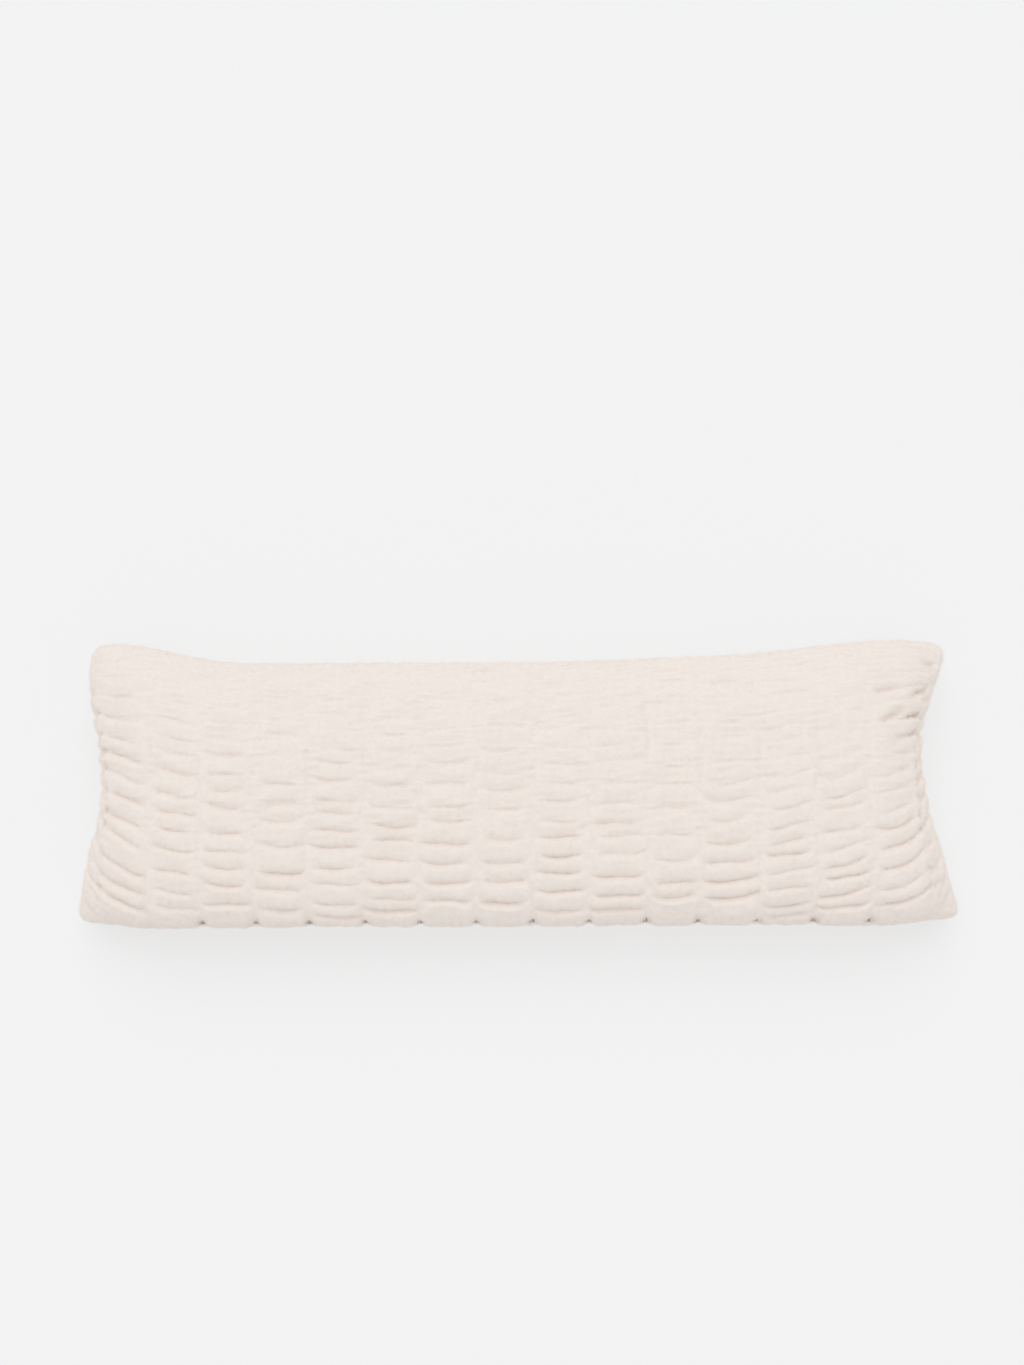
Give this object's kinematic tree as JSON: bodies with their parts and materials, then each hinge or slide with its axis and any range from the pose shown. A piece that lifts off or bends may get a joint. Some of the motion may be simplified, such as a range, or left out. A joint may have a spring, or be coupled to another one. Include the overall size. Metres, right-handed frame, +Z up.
{
  "type": "body pillow",
  "caption": "Long filled body pillow in ruched plush, with upright stitched columns of puffed ribs on its face and a plain back.",
  "frame": {"origin": "on the surface under the middle of the pillow's box, the pillow lying on its back", "axes": "+X along the length, +Y towards the high long side, +Z up out of the ruched face"},
  "size_m": [1.3746, 0.453, 0.173],
  "materials": {
    "plush": "ivory short-pile plush, matt"
  },
  "bodies": {
    "root": {"pillow": "plush"}
  },
  "joints": []
}
